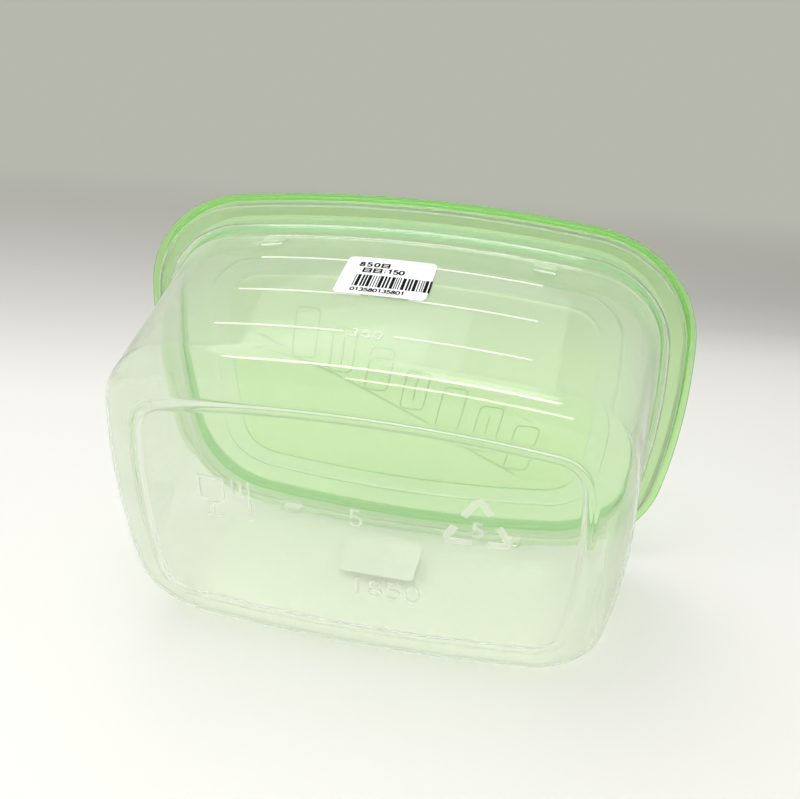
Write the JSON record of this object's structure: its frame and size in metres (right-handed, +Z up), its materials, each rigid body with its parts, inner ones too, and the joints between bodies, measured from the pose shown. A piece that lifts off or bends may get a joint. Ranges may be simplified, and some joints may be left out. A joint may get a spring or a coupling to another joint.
{
  "type": "lidded plastic food box",
  "caption": "Deep rectangular food box of clear plastic with rounded corners, a foot ring and graduation lines, closed by a press-on lid that lifts off.",
  "frame": {"origin": "centre of the outline at the height of the table that the foot ring stands on", "axes": "+Z up out of the box's mouth, X along its length, the labelled and graduated wall faces -Y"},
  "size_m": [0.2152, 0.158, 0.0934],
  "materials": {
    "tub_plastic": "clear, slightly milky moulded plastic with a soft gloss",
    "lid_plastic": "translucent light green moulded plastic with a soft gloss",
    "label_paper": "matt white coated paper with black print"
  },
  "bodies": {
    "tub": {"tub": "tub_plastic", "label": "label_paper", "back_label": "label_paper"},
    "lid": {"lid": "lid_plastic"}
  },
  "joints": [
    {"name": "lid_lift", "type": "slide", "parent": "tub", "child": "lid", "axis": [0, 0, 1], "range_m": [0, 0.1]}
  ]
}
